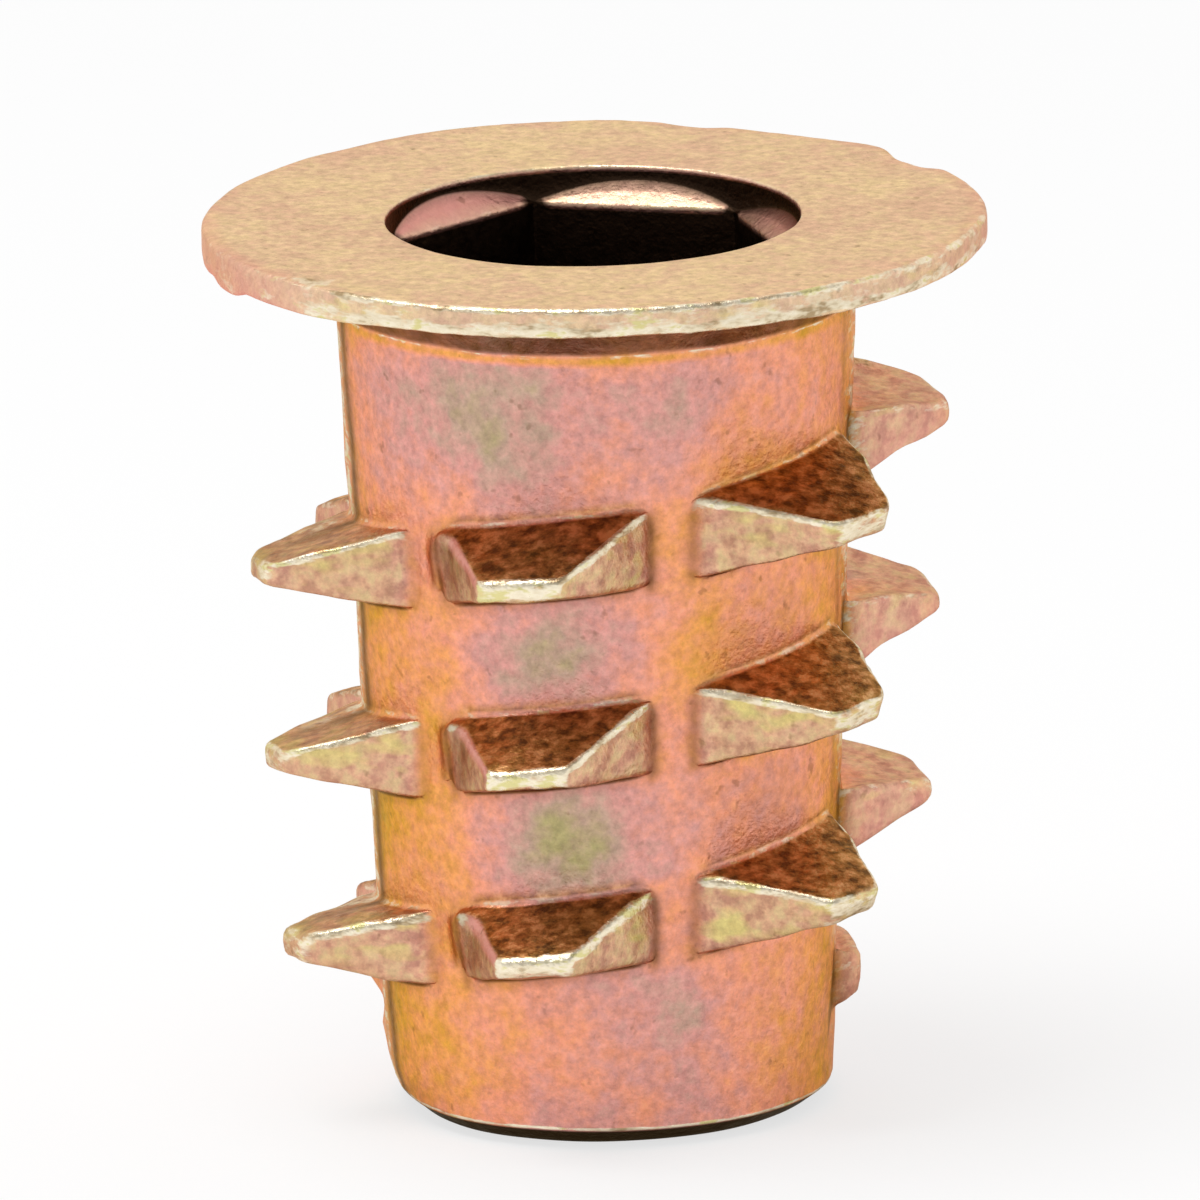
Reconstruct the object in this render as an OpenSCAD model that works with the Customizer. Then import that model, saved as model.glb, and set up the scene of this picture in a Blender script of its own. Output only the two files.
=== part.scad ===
// Threaded insert for wood and furniture boards, M8, one zinc casting.
// A thin flange flares out of a tapered barrel. The coarse outer thread is broken into
// six columns of wedge teeth, one step of the helix apart, and the barrel holds a
// hexagonal driving socket above the metric bore. Millimetres, standing on its
// lower end, with the axis on Z and a column of teeth facing -Y.

/* [Overall] */
// Length from the lower end to the top of the flange
insert_length = 20.3; // [17:0.1:30]

/* [Flange] */
// Diameter of the flange
flange_d = 17.5; // [16.5:0.1:22]
// Thickness of the flange
flange_t = 0.66; // [0.5:0.02:1.2]
// Radius that rounds both edges of the rim
rim_round = 0.1; // [0.05:0.01:0.22]
// Height of the flared neck that leads from the barrel out to the flange
neck_height = 1.1; // [0.4:0.1:1.6]
// How far the neck flares out under the flange
neck_flare = 0.7; // [0.2:0.05:1.2]

/* [Barrel] */
// Diameter that the barrel's taper reaches at the flange
barrel_top_d = 11.76; // [11:0.02:13]
// Diameter that the barrel's taper reaches at the lower end
barrel_end_d = 9.9; // [9.5:0.1:10.8]
// Height of the chamfer round the lower end
end_chamfer = 0.45; // [0.1:0.05:0.6]
// How far the chamfer runs in at the lower end
end_chamfer_run = 0.5; // [0.2:0.05:0.5]

/* [Hexagonal socket] */
// Width of the socket across its flats
hex_af = 8; // [7.5:0.1:8.5]
// Depth of the socket below the top of the flange
hex_depth = 6.5; // [4.5:0.1:9]
// Depth at which the flats start, below the lead-in facets
hex_start = 0.85; // [0.7:0.05:1.2]
// Slope of the lead-in facets below the horizontal, in degrees
lead_in_slope = 35; // [25:1:45]
// How far the round recess stands outside the corners of the hexagon
recess_step = 0.03; // [0.02:0.01:0.15]

/* [Metric bore] */
// Diameter of the bore at the crests of its thread
bore_d = 6.65; // [6.2:0.05:7]
// Height of the 45 degree countersink at each end of the bore
bore_chamfer = 0.6; // [0.2:0.05:0.8]

/* [Outer thread] */
// Pitch of the outer thread
pitch = 4.4; // [3.6:0.1:5.5]
// Height of the first tooth's centre line above the lower end
first_tooth_z = 1.97; // [1.4:0.01:3]
// Bare length of barrel between the last tooth's centre line and the flange
bare_neck = 4.4; // [2:0.1:6]
// Height of the teeth above the barrel at the lower end
tooth_h_end = 2.08; // [1.4:0.05:2.6]
// Height of the teeth above the barrel at the flange
tooth_h_top = 2.36; // [1.4:0.05:2.8]
// Width of the flat along a tooth's crest
crest_w = 0.58; // [0.3:0.02:0.9]
// Angle of each flank against the plane across the axis, in degrees
flank_angle = 14; // [8:1:20]
// Half of the angle that a tooth's foot spans round the barrel, in degrees
foot_half_angle = 25.2; // [21:0.2:27]
// Angle of a tooth's end faces against the column's own radius, in degrees
end_face_angle = 27; // [15:1:34]
// Number of low teeth over which the thread grows to its full height
run_in_teeth = 3; // [1:1:5]

/* [Hidden] */
$fn = 96;

columns = 6;
column_step = 360 / columns;
first_column_angle = 30;
cut_over = 1;
tooth_embed = 0.4;
casting_colour = [0.83, 0.62, 0.47];

flange_r = flange_d / 2;
flange_under_z = insert_length - flange_t;
hex_corner_r = hex_af / 2 / cos(30);
recess_r = hex_corner_r + recess_step;
bore_r = bore_d / 2;
tooth_rise = pitch / columns;
tooth_count = 1 + floor((flange_under_z - bare_neck - first_tooth_z) / tooth_rise + 0.01);

// Straight line between two values
function mix(a, b, t) = a + (b - a) * t;

// Points on an arc, from one angle to another
function arc(centre, r, from, to, steps) =
    [for (i = [0 : steps]) let (a = mix(from, to, i / steps)) centre + r * [cos(a), sin(a)]];

// Radius of the tapered barrel at a height
function barrel_r(z) = mix(barrel_end_d, barrel_top_d, z / flange_under_z) / 2;

// Full height of a tooth above the barrel at a height
function tooth_h(z) = mix(tooth_h_end, tooth_h_top, z / flange_under_z);

// Flange and barrel as one turned outline, with a flared neck under the flange
module turned_outside() {
    neck_z = flange_under_z - neck_height;
    rotate_extrude()
        polygon(concat(
            [[0, 0],
             [barrel_r(end_chamfer) - end_chamfer_run, 0],
             [barrel_r(end_chamfer), end_chamfer],
             [barrel_r(neck_z), neck_z],
             [barrel_r(flange_under_z) + neck_flare, flange_under_z]],
            arc([flange_r - rim_round, flange_under_z + rim_round], rim_round, -90, 0, 3),
            arc([flange_r - rim_round, insert_length - rim_round], rim_round, 0, 90, 3),
            [[0, insert_length]]));
}

// Hexagonal funnel whose six planes lead down to the flats, cut by the round recess
module lead_in() {
    rise = hex_start + cut_over;
    intersection() {
        translate([0, 0, insert_length - hex_start])
            cylinder(h = rise, r1 = hex_corner_r,
                r2 = hex_corner_r + rise / tan(lead_in_slope) / cos(30), $fn = 6);
        translate([0, 0, insert_length - 2 * hex_start])
            cylinder(h = 2 * hex_start + cut_over, r = recess_r);
    }
}

// Recess, hexagon and bore, from the flange right through to the lower end
module inner_space() {
    hex_floor_z = insert_length - hex_depth;
    countersink_r = bore_r + bore_chamfer;
    lead_in();
    translate([0, 0, hex_floor_z])
        cylinder(h = hex_depth - hex_start, r = hex_corner_r, $fn = 6);
    translate([0, 0, -cut_over])
        cylinder(h = hex_floor_z + 2 * cut_over, r = bore_r);
    translate([0, 0, hex_floor_z - bore_chamfer])
        cylinder(h = bore_chamfer, r1 = bore_r, r2 = countersink_r);
    translate([0, 0, -cut_over])
        cylinder(h = bore_chamfer + cut_over, r1 = countersink_r + cut_over, r2 = bore_r);
}

// Angle from the column's middle at which its slanted end face has a radius
function end_face_at(r, foot_r) =
    asin(foot_r * sin(foot_half_angle + end_face_angle) / r) - end_face_angle;

// One wedge tooth, rooted in the wall: sections across the helix, from end face to
// end face, each a trapezoid whose flanks close in with the radius
module tooth(centre_z, centre_angle, height) {
    foot_r = barrel_r(centre_z);
    root_r = foot_r - tooth_embed;
    crest_r = foot_r + height;
    full_w = crest_w + 2 * tooth_h(centre_z) * tan(flank_angle);
    end_radii = [foot_r - tooth_embed / 2, foot_r, mix(foot_r, crest_r, 0.5)];
    crest_angle = end_face_at(crest_r, foot_r);
    left = [for (r = end_radii) [-end_face_at(r, foot_r), r]];
    crest = [for (t = [-1 : 0.5 : 1]) [t * crest_angle, crest_r]];
    right = [for (i = [len(left) - 1 : -1 : 0]) [-left[i][0], left[i][1]]];
    stations = concat(left, crest, right);
    last = len(stations) - 1;
    points = [for (s = stations, side = [-1, 1], r = side < 0 ? [root_r, s[1]] : [s[1], root_r])
        let (a = centre_angle + s[0],
            half_w = full_w / 2 - (r - foot_r) * tan(flank_angle),
            z = centre_z + s[0] / 360 * pitch)
        [r * cos(a), r * sin(a), z + side * half_w]];
    walls = [for (i = [0 : last - 1], j = [0 : 3])
        let (a = 4 * i + j, b = 4 * i + (j + 1) % 4)
        each [[a, b, b + 4], [a, b + 4, a + 4]]];
    near_cap = [[3, 2, 1], [3, 1, 0]];
    far_cap = [[0, 1, 2], [0, 2, 3]];
    polyhedron(points, concat(walls, near_cap, [for (f = far_cap) f + [4, 4, 4] * last]));
}

// The broken helix: one tooth for each step round the barrel, low where it starts
module outer_teeth() {
    for (k = [0 : tooth_count - 1]) {
        centre_z = first_tooth_z + k * tooth_rise;
        growth = min(1, (k + 1) / (run_in_teeth + 1));
        tooth(centre_z, first_column_angle + k * column_step, growth * tooth_h(centre_z));
    }
}

// The whole casting
module insert() {
    color(casting_colour)
        difference() {
            union() {
                turned_outside();
                outer_teeth();
            }
            inner_space();
        }
}

insert();
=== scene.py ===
"""Looks of the threaded insert: one zinc casting with yellow plating, in metres.

The casting is one closed surface. Its section is a closed polygon in (radius, height),
worked out for every angle round the axis, rounded at its corners and carried once round.
The small faults of this copy and a cast grain are then laid over it, and every point
carries the values that the plating's colours are worked out from. The metric thread in
the bore is a second surface, one ridge that winds up inside.
"""
import math

import bpy
import numpy as np
from mathutils import Matrix, Vector


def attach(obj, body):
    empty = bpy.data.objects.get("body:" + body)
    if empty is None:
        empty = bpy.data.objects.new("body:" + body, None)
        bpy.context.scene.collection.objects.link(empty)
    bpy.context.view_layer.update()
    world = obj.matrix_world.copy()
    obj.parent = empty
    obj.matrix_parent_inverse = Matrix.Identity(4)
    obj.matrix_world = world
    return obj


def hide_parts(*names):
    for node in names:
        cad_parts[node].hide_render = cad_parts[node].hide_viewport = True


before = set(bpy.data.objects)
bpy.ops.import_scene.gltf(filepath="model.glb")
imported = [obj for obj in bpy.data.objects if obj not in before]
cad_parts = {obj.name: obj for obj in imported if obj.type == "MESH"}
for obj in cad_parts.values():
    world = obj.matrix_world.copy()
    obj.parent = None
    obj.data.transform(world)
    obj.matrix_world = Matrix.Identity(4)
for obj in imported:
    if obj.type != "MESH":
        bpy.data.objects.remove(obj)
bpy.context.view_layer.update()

MM = 0.001

# Sizes of the casting in millimetres, as the solid has them
LENGTH = 20.3
FLANGE_R = 8.75
FLANGE_T = 0.66
FLANGE_UNDER = LENGTH - FLANGE_T
NECK_HEIGHT = 1.1
NECK_Z = FLANGE_UNDER - NECK_HEIGHT
NECK_FLARE = 0.7
BARREL_TOP_R = 5.88
BARREL_END_R = 4.95
END_CHAMFER = 0.45
HEX_APOTHEM = 4.0
HEX_CORNER_R = HEX_APOTHEM / math.cos(math.radians(30))
HEX_DEPTH = 6.5
HEX_FLOOR = LENGTH - HEX_DEPTH
HEX_START = 0.85
LEAD_IN_SLOPE = math.radians(35)
RECESS_R = HEX_CORNER_R + 0.03
BORE_R = 3.325
COUNTERSINK_R = BORE_R + 0.6
PITCH = 4.4
COLUMNS = 6
SECTOR_ANGLE = math.radians(360 / COLUMNS)
FIRST_TOOTH_Z = 1.97
TOOTH_H_END = 2.08
TOOTH_H_TOP = 2.36
CREST_W = 0.58
FLANK_TAN = math.tan(math.radians(14))
FOOT_HALF_ANGLE = math.radians(25.2)
END_FACE_SLANT = 27.0

# Sizes that only this surface has, in millimetres: the run of the end chamfer, whose edge is
# bright with wear and a painted highlight, the metric thread, and half the height of the slot
# that each tooth stands in
END_CHAMFER_RUN = 0.6
THREAD_ROOT_R = 4.02
THREAD_PITCH = 1.25
HALF_SLOT = 1.18

# The unwrapped angle that follows the helix starts in the gap before the first sector,
# one sector holds one column of teeth, and all angles in tables are in degrees
FIRST_MIDDLE = 90.0
TURN_START = math.radians(FIRST_MIDDLE - 30)
SECTOR_NAMES = "EFABCD"
LEVELS = (1, 2, 3)


# Small tools

def barrel_r(z):
    """Radius of the tapered barrel: a straight line between its two end radii."""
    return BARREL_END_R + (BARREL_TOP_R - BARREL_END_R) * z / FLANGE_UNDER


def tooth_h(z):
    """Height of a full tooth above the barrel: a straight line from end to flange."""
    return TOOTH_H_END + (TOOTH_H_TOP - TOOTH_H_END) * z / FLANGE_UNDER


def smooth_min(a, b, k):
    """The smaller of two values, blended over a distance k where they are close."""
    h = np.clip(0.5 + 0.5 * (b - a) / k, 0, 1)
    return b + (a - b) * h - k * h * (1 - h)


def smooth_max(a, b, k):
    """The larger of two values, blended over a distance k where they are close."""
    return -smooth_min(-a, -b, k)


def smooth_step(t):
    """Ramp from 0 to 1 that starts and ends level."""
    t = np.clip(t, 0, 1)
    return t * t * (3 - 2 * t)


def bell(x, middle, width):
    """Bell of unit height: e to the power of minus the squared distance over the width."""
    return np.exp(-((x - middle) / width) ** 2)


def ripple(points, length, seed, waves=16):
    """Soft noise of about unit size: a sum of sine waves of near one length, each along
    its own seeded direction with its own seeded phase."""
    rng = np.random.default_rng(seed)
    total = np.zeros(points.shape[:-1])
    for _ in range(waves):
        direction = rng.normal(size=3)
        direction *= 2 * math.pi / (length * rng.uniform(0.7, 1.5) * np.linalg.norm(direction))
        total += np.sin(points @ direction + rng.uniform(0, 2 * math.pi))
    return total / math.sqrt(waves / 2)


def angle_between(angle, middle):
    """Signed difference of two angles, brought into half a turn each way."""
    return (angle - middle + math.pi) % (2 * math.pi) - math.pi


def swelling(angle, z, middle, half_angle, middle_z, half_z):
    """Rounded hump of unit height: a bell over the angle times a bell over the height."""
    across = angle_between(angle, math.radians(middle)) / math.radians(half_angle)
    return np.exp(-across ** 2 - ((z - middle_z) / half_z) ** 2)


# The columns of the grid

def angle_columns():
    """Angles of the grid's columns in one turn: the same uneven steps in each sector,
    close together at the feet and crests of the teeth and wider on the flats."""
    knots = [-30, -26.4, -23.6, -10, -6.4, 6.4, 10, 23.6, 26.4, 30]
    steps = [6, 6, 10, 7, 11, 7, 10, 6, 6]
    local = np.concatenate([np.linspace(a, b, n, endpoint=False)
                            for a, b, n in zip(knots, knots[1:], steps)])
    middles = np.arange(COLUMNS)[:, None] * 60.0 + FIRST_MIDDLE
    return np.radians((middles + local).ravel())


PHI = angle_columns()
THETA = PHI - TURN_START
SECTOR = np.minimum((THETA / SECTOR_ANGLE).astype(int), COLUMNS - 1)
LOCAL = THETA - SECTOR_ANGLE * SECTOR - SECTOR_ANGLE / 2


def all_round(value):
    """A single value, or one for each column of the grid, as an array over the columns."""
    return np.broadcast_to(value, PHI.shape)


def by_sector(values, level=0):
    """One value for each column of the grid from a table by sector, blended across the
    bare gaps between the teeth. A tuple in the table has one value for each level."""
    picked = {name: value[level] if isinstance(value, tuple) else value
              for name, value in values.items()}
    both_ends = np.repeat([picked.get(name, 0.0) for name in SECTOR_NAMES], 2)
    knots = np.radians([edge + 60 * k for k in range(COLUMNS) for edge in (4, 56)])
    return np.interp(THETA, knots, both_ends, period=2 * math.pi)


def near_end(name, side):
    """1 on one half of a sector and 0 elsewhere; side is -1 or 1, against or with the turn."""
    return ((SECTOR == SECTOR_NAMES.index(name)) & (LOCAL * side > 0)).astype(float)


def swellings(places, z):
    """Sum of humps laid over the casting. Each place gives the angle of its middle and
    half its width, the height of its middle and half its height, and its strength."""
    angle = np.broadcast_to(PHI, z.shape)
    return sum(strength * swelling(angle, z, middle, half_angle, middle_z, half_z)
               for middle, half_angle, middle_z, half_z, strength in places)


# The section

# Finish values that run along the section, and marks that sit on its corners. Of the finish
# values, inside, shade and flank are painted shade: in the socket, bore and lower chamfer, in
# roots, crevices and under the flange, and on the upper flanks. The marks are bright with wear
# and a painted highlight, darkened with painted shade in the roots, pinkish, and bare without
# the flanks' painted shade
FINISH = ("tooth", "plate", "inside", "flank", "shade", "rose", "glow")
MARKS = ("worn", "root", "blush", "bare")


class Section:
    """Closed polygon of the casting's section at every column, corner by corner."""

    # The share of an edge that the rounding of a corner beside it takes at most
    largest_share = 0.45

    def __init__(self):
        self.corners, self.trim, self.edge_rows, self.corner_rows = [], [], [], []
        self.marks = {name: [] for name in MARKS}
        self.edge_marks = {name: [] for name in MARKS}

    def corner(self, r, z, trim, edge_rows, corner_rows=3, **finish):
        """Adds a corner at (r, z), rounded over trim each way, and the rows of its next edge.
        Marks are strongest in the middle of the corner's curve, and those that end in _edge
        mark the next edge. The other finish values run evenly from corner to corner as the
        position does."""
        values = [r, z] + [finish.get(name, 0.0) for name in FINISH]
        self.corners.append(np.stack([all_round(value) for value in values], -1))
        self.trim.append(all_round(trim))
        self.edge_rows.append(edge_rows)
        self.corner_rows.append(corner_rows)
        for name in MARKS:
            self.marks[name].append(all_round(finish.get(name, 0.0)))
            self.edge_marks[name].append(all_round(finish.get(name + "_edge", 0.0)))

    def rows(self):
        """Rows of points: at each corner a quadratic curve from a point before it to a
        point after it, pulled to the corner, then even steps along the next edge."""
        p = np.array(self.corners)
        ahead = np.roll(p, -1, 0) - p
        size = np.linalg.norm(ahead[..., :2], axis=-1, keepdims=True)
        way = ahead / np.maximum(size, 1e-6)
        trim = np.array(self.trim)[..., None]
        after = np.minimum(trim, self.largest_share * size)
        before = np.roll(np.minimum(np.roll(trim, -1, 0), self.largest_share * size), 1, 0)
        back_way = np.roll(way, 1, 0)
        rows, marks = [], {name: [] for name in MARKS}
        for i in range(len(p)):
            start = p[i] - back_way[i] * before[i]
            end = p[i] + way[i] * after[i]
            n = self.corner_rows[i]
            for t in (np.linspace(0, 1, n) if n > 1 else [0.5]):
                rows.append((1 - t) ** 2 * start + 2 * t * (1 - t) * p[i] + t * t * end)
                strength = math.sqrt(4 * t * (1 - t))
                for name in MARKS:
                    edges = self.edge_marks[name]
                    beside = (1 - t) * edges[i - 1] + t * edges[i]
                    marks[name].append(np.maximum(self.marks[name][i] * strength, beside))
            k = (i + 1) % len(p)
            goal = p[k] - way[i] * before[k]
            for t in np.linspace(0, 1, self.edge_rows[i] + 2)[1:-1]:
                rows.append(end + (goal - end) * t)
                for name in MARKS:
                    marks[name].append(self.edge_marks[name][i])
        return np.array(rows), {name: np.array(values) for name, values in marks.items()}


# The outer thread

# How the teeth of each column stand in this casting, in millimetres. A tuple has one value
# for the row that holds the stub tooth and one for each level.
SHIFTED_UP = {"F": 0.07, "A": -0.1, "D": (0, 0.24, 0.18, 0.15)}
TALLER = {"A": (0, 0.15, 0.22, 0.22), "C": (0, 0.32, 0.28, 0.27)}
TIP_BLEND = {"E": 0.6, "F": 0.5, "A": 0.42, "B": 0.2, "C": 0.32, "D": 0.25}
CREST_TILT = {"C": 0.12}
LOW_CREST_SHIFT = {"A": (0, 0.07, 0.06, 0.02), "B": -0.06, "C": -0.04, "D": (0.14, 0.12, 0.12, 0.07)}
HIGH_CREST_SHIFT = {"A": (0, 0.10, -0.02, -0.05), "B": -0.20, "C": -0.04, "D": -0.04}
HIGH_FOOT_SHIFT = {"E": -0.1, "B": 0.07, "C": 0.08, "D": -0.36}

# How many degrees less the right end face of column F slants, and where and how far the
# right end face of column C bulges
FLATTER_SLANT = 7
BULGE_MIDDLE, BULGE_WIDTH, BULGE_HEIGHT = math.radians(17), math.radians(5), 0.25

# The swollen left corner of column B's crests: place, widths left and right, and height
HUMP_MIDDLE, HUMP_LEFT, HUMP_RIGHT, HUMP_HEIGHT = -26, 2.4, 5, 0.34

# Where the left feet of column B are cut back, over which angle, and by which share
FOOT_CUT_START, FOOT_CUT_RUN, FOOT_CUT = math.radians(22.5), math.radians(2.7), 0.3

# Finishes of the teeth by column: bright along the slanted ends and the crests with wear and
# a painted highlight, painted shade on the upper flanks, pink, painted shade at the feet of the
# ends, under the teeth and on the left ends of column B, and greenish crests
RIDGE_WEAR_AND_HIGHLIGHT = {"F": 0.3, "A": 0.95, "B": 1, "C": 1, "D": 0.3}
CREST_WEAR_AND_HIGHLIGHT = {"F": 0.3, "A": 0.5, "B": 1, "C": 0.75, "D": 0.3}
HIGH_FLANK_SHADE = {"E": 0.7, "F": 0.8, "A": 0.42, "B": 1, "C": 1, "D": 0.15}
LOW_FLANK_SHADE = {"E": 0.5}
TOOTH_PINK = {"E": 0.4, "F": 0.5, "A": 0.15, "C": 0.1, "D": 0.5}
PINK_LOST_ABOVE = {"D": 0.6}
END_DARK = {"E": 0.7, "F": 0.6, "A": 0.35, "B": 0.9, "C": 0.6, "D": 1}
END_DARK_SHIFT = {"D": 0.15}
END_DARK_WIDER = {"D": 0.25}
DARK_ABOVE = {"D": 0.9}
DARK_UNDER = {"E": 0.4, "F": 0.4, "A": 0.45, "B": 0.55, "C": 0.5, "D": 0.4}
LOW_CREST_GLOW = {"C": (0, 0.65, 0.1, 0)}
HIGH_CREST_GLOW = {"F": 0.1, "A": 0.8, "B": 0.6, "C": 0.8, "D": 0.3}
LEFT_FACE_DARK = 0.62

# Share of the full height that the first teeth of the helix have
RUN_IN = {"E": 0.5, "F": 0.75}

# The low stub tooth of column D: heights of the middle and half the height of its row's
# slot, which is thin in the other columns, and its own share of the full height
STUB_ROW_Z = {"E": 0.86, "F": 0.86, "A": 0.86, "B": 0.86, "C": 0.86, "D": 2.75}
STUB_ROW_HALF = {"E": 0.18, "F": 0.18, "A": 0.18, "B": 0.18, "C": 0.18, "D": 0.81}
STUB_SHARE = 0.27

# Rows of the grid along the edge after each of a slot's six corners, and round the corner
STUB_ROWS = ((1, 1), (2, 2), (2, 3), (3, 4), (1, 3), (2, 1))
TOOTH_ROWS = ((1, 1), (3, 4), (3, 4), (5, 5), (1, 4), (4, 1))

# How much softer than the others the corners of the stub and of each level are
STUB_SOFTNESS = 2.6
SOFTNESS = {1: 1.35, 2: 1.0, 3: 1.0}


def end_face_r(foot):
    """Radius of the teeth's slanted end planes at each column, for a foot radius. A plane
    through the foot at a fixed slant reads reach / sin(angle from the middle + slant)."""
    slant = np.radians(END_FACE_SLANT - FLATTER_SLANT * near_end("F", 1))
    reach = foot * np.sin(FOOT_HALF_ANGLE + slant)
    return reach / np.sin(np.maximum(np.abs(LOCAL), 1e-3) + slant)


def tooth_centres(level):
    """Height of a level's teeth at each column. It climbs one pitch in a turn, and in
    the bare gap where the turn ends it slides back down to the level's start."""
    start = FIRST_TOOTH_Z + PITCH / COLUMNS + PITCH * (level - 1)
    climb = (THETA - SECTOR_ANGLE / 2) / (2 * math.pi) * PITCH
    gap = math.radians(4.0)
    lift = 0.5 * PITCH * (1 - smooth_step(THETA / gap))
    drop = 0.5 * PITCH * (1 - smooth_step((2 * math.pi - THETA) / gap))
    return start + climb + lift - drop + by_sector(SHIFTED_UP, level)


def left_hump(level):
    """Swollen left corner of column B's crests: a bell over the angle, steep on its left
    and drawn out on its right."""
    beyond = np.degrees(LOCAL) - HUMP_MIDDLE
    width = np.where(beyond < 0, HUMP_LEFT, HUMP_RIGHT)
    return HUMP_HEIGHT * (level > 0) * near_end("B", -1) * np.exp(-(beyond / width) ** 2)


def tooth_finishes(rise, height_share, end_plane, at_crest, beside_b, left_dark, level):
    """Finishes of a tooth's four corners from the lower foot to the upper one, painted shade
    among them. They fade in as the tooth rises from the barrel, and the painted shade at the
    foot of each end face is darkest, as a bell over the height of the end plane."""
    stands = smooth_step(rise / 0.5)
    ridge_worn = by_sector(RIDGE_WEAR_AND_HIGHLIGHT) * (1 - beside_b)
    crest_worn = by_sector(CREST_WEAR_AND_HIGHLIGHT)
    worn = smooth_step(rise / 0.2) * (ridge_worn + (crest_worn - ridge_worn) * at_crest)
    # Painted shade of the upper flanks
    flank_shade = stands * by_sector(HIGH_FLANK_SHADE)
    pink = stands * by_sector(TOOTH_PINK)
    end_foot = bell(end_plane, 0.02 - by_sector(END_DARK_SHIFT), 0.13 + by_sector(END_DARK_WIDER))
    end_dark = (height_share > 0) * end_foot * by_sector(END_DARK)
    right_of_b = smooth_step((0.9 - end_plane) / 0.9) * stands * near_end("B", 1)
    face_dark = np.maximum(end_dark, 0.3 * right_of_b)
    # Painted shade under each tooth, at the feet of its end faces and on the right ends of column B
    low_foot = {
        "root": stands,
        "shade": np.maximum(end_dark, stands * by_sector(DARK_UNDER))}
    low_crest = {
        "worn": 0.7 * worn * at_crest, "worn_edge": 0.95 * worn * at_crest,
        "tooth": stands, "rose": pink, "bare_edge": stands,
        "flank": stands * by_sector(LOW_FLANK_SHADE),
        "shade": np.maximum(face_dark, 0.7 * left_dark),
        "glow": 0.85 * right_of_b + stands * by_sector(LOW_CREST_GLOW, level)}
    high_crest = {
        "worn": worn, "tooth": stands, "flank": flank_shade, "bare": beside_b,
        "blush": beside_b * smooth_step(rise / 0.6),
        "rose": pink * (1 - by_sector(PINK_LOST_ABOVE)),
        "shade": np.maximum(face_dark, left_dark),
        "glow": stands * by_sector(HIGH_CREST_GLOW) * (1 - beside_b) + 0.3 * right_of_b}
    # Painted shade at the upper foot, beside column D's end faces and below the left ends of column
    # B
    high_foot = {
        "worn": 0.25 * stands, "bare": stands, "flank": flank_shade,
        "shade": np.maximum(0.3 * left_dark * (1 - stands), end_dark * by_sector(DARK_ABOVE))}
    return low_foot, low_crest, high_crest, high_foot


def add_tooth(section, centre, height_share, half_slot, level=0, softness=1.0):
    """Adds the six corners of one level's slot: barrel, foot, crest, crest, foot, barrel.
    Each corner stands on the barrel's own radius at its height, plus the tooth's rise.
    The rise is the full height or the slanted end plane, whichever is lower."""
    foot = barrel_r(centre)
    full_h = tooth_h(centre) + by_sector(TALLER, level)
    half_foot = np.minimum(CREST_W / 2 + full_h * FLANK_TAN, half_slot - 0.12)
    bulge = BULGE_HEIGHT * near_end("C", 1) * bell(LOCAL, BULGE_MIDDLE, BULGE_WIDTH)
    end_plane = end_face_r(foot) - foot + bulge
    lower = smooth_min(full_h * height_share, end_plane, by_sector(TIP_BLEND))
    rise = smooth_max(lower, 0.0, 0.1) * (height_share > 0)
    half_top = half_foot - rise * FLANK_TAN - 0.4 * half_foot * np.exp(-rise / 0.04)
    stands, leaning = smooth_step(rise / 0.5), smooth_step(rise / full_h)
    hump = left_hump(level)
    left_of_b = near_end("B", -1)
    foot_cut = FOOT_CUT * left_of_b * smooth_step((-LOCAL - FOOT_CUT_START) / FOOT_CUT_RUN)
    tilt = leaning * by_sector(CREST_TILT)
    low = centre - half_top + leaning * by_sector(LOW_CREST_SHIFT, level)
    high = centre + half_top + leaning * by_sector(HIGH_CREST_SHIFT, level)
    foot_low = centre - half_foot * (1 - foot_cut)
    foot_high = centre + half_foot + stands * by_sector(HIGH_FOOT_SHIFT)
    slot_low, slot_high = centre - half_slot, centre + half_slot + 0.06

    at_crest = stands * smooth_step((end_plane - full_h * height_share + 0.12) / 0.2)
    beside_b = left_of_b * stands * (1 - at_crest)
    # Painted shade on the left ends of column B and on the hump beside them
    left_dark = LEFT_FACE_DARK * np.maximum(beside_b, smooth_step(hump / 0.12)) * (1 - at_crest)
    left_dark = left_dark * (1 - 0.7 * smooth_step((rise - 0.5) / 1.2))
    finishes = tooth_finishes(rise, height_share, end_plane, at_crest, beside_b, left_dark, level)

    corners = (
        (barrel_r(slot_low), slot_low, 0.05),
        (barrel_r(foot_low), foot_low, 0.14),
        (barrel_r(low) + rise - tilt + 0.15 * hump, low, 0.13 * softness),
        (barrel_r(high) + rise + tilt + hump, high, (0.2 + 0.14 * left_dark) * softness),
        (barrel_r(foot_high), foot_high, 0.13),
        (barrel_r(slot_high), slot_high, 0.05))
    rows = STUB_ROWS if level == 0 else TOOTH_ROWS
    for corner, row_counts, finish in zip(corners, rows, ({}, *finishes, {})):
        section.corner(*corner, *row_counts, **finish)


def growth(level):
    """Share of its full height that each tooth has, low on the first teeth of the helix."""
    share = np.ones_like(PHI)
    if level == 1:
        for name, start_share in RUN_IN.items():
            share[SECTOR == SECTOR_NAMES.index(name)] = start_share
    return share


# The casting's section, part by part

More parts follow.
